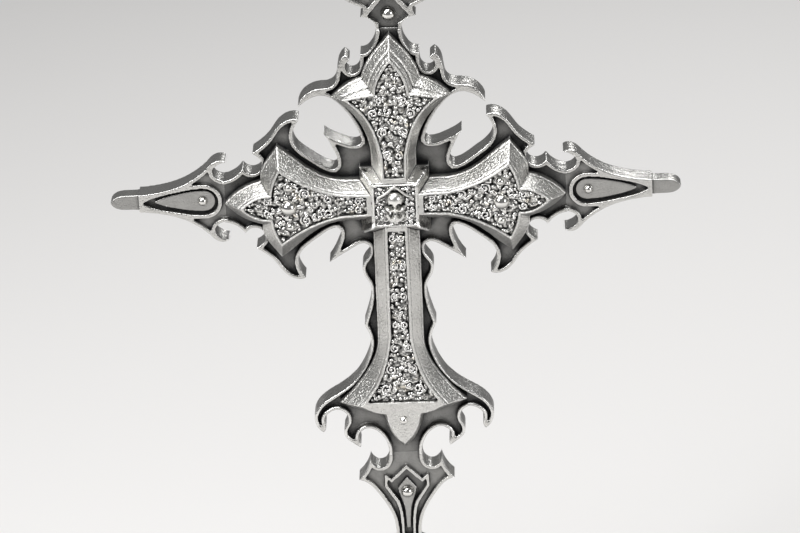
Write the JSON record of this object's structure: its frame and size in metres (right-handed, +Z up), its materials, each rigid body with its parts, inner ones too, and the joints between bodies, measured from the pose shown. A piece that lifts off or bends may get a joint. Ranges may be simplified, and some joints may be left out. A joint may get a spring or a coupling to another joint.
{
  "type": "processional cross head",
  "caption": "Gothic processional cross head with openwork flared arms, bevelled front cross, skull boss, knop and staff socket with a clamp screw.",
  "frame": {"origin": "centre of the staff socket's mouth", "axes": "+Z up along the staff towards the cross, front of the cross faces -Y, +X to the viewer's right"},
  "size_m": [0.345, 0.0774, 0.54],
  "materials": {
    "dark_silver": "antique cast silver, dark in the recesses",
    "bright_silver": "polished cast silver",
    "filigree_silver": "pebbled cast silver with dark pits",
    "turned_silver": "turned and burnished silver",
    "core_iron": "forged bar, dark",
    "fastener_steel": "plain steel"
  },
  "bodies": {
    "head": {"right_strap": "dark_silver", "left_strap": "dark_silver", "top_strap": "dark_silver", "bottom_strap": "dark_silver", "rear_screws": "fastener_steel", "core_crossbar": "core_iron", "core_upright": "core_iron", "crossing_casting": "dark_silver", "right_arm_casting": "dark_silver", "left_arm_casting": "dark_silver", "top_arm_casting": "dark_silver", "bottom_arm_casting": "dark_silver", "right_terminal": "dark_silver", "left_terminal": "dark_silver", "top_terminal": "dark_silver", "bottom_terminal": "dark_silver", "right_tip": "bright_silver", "left_tip": "bright_silver", "right_insert": "dark_silver", "left_insert": "dark_silver", "bottom_insert": "dark_silver", "side_rivets": "bright_silver", "top_rivet": "bright_silver", "foot_rivet": "bright_silver", "right_overlay": "bright_silver", "left_overlay": "bright_silver", "top_overlay": "bright_silver", "bottom_overlay": "bright_silver", "right_inlay": "filigree_silver", "left_inlay": "filigree_silver", "top_inlay": "filigree_silver", "bottom_inlay": "filigree_silver", "arm_beads": "bright_silver", "small_beads": "bright_silver", "tongue_bead": "bright_silver", "crossing_block": "bright_silver", "skull_boss": "bright_silver", "foot_collar": "turned_silver", "knop_lower": "turned_silver", "knop_upper": "turned_silver", "knop_band": "turned_silver", "knop_bosses": "bright_silver", "lower_collar": "turned_silver", "staff_socket": "turned_silver", "tang_pin": "fastener_steel", "mouth_ring": "turned_silver", "clamp_boss": "turned_silver"},
    "pad": {"clamp_pad": "fastener_steel"},
    "screw": {"thumbscrew": "turned_silver"}
  },
  "joints": [
    {"name": "pad_slide", "type": "slide", "parent": "head", "child": "pad", "axis": [0, -1, 0], "range_m": [0, 0.003]},
    {"name": "thumbscrew_turn", "type": "hinge", "parent": "pad", "child": "screw", "pos_m": [0, 0.03, 0.034], "axis": [0, -1, 0], "range_deg": [0, 1080]}
  ],
  "couplings": [
    {"joint": "pad_slide", "follows": "thumbscrew_turn", "m_per_rad": 0.00015915}
  ]
}
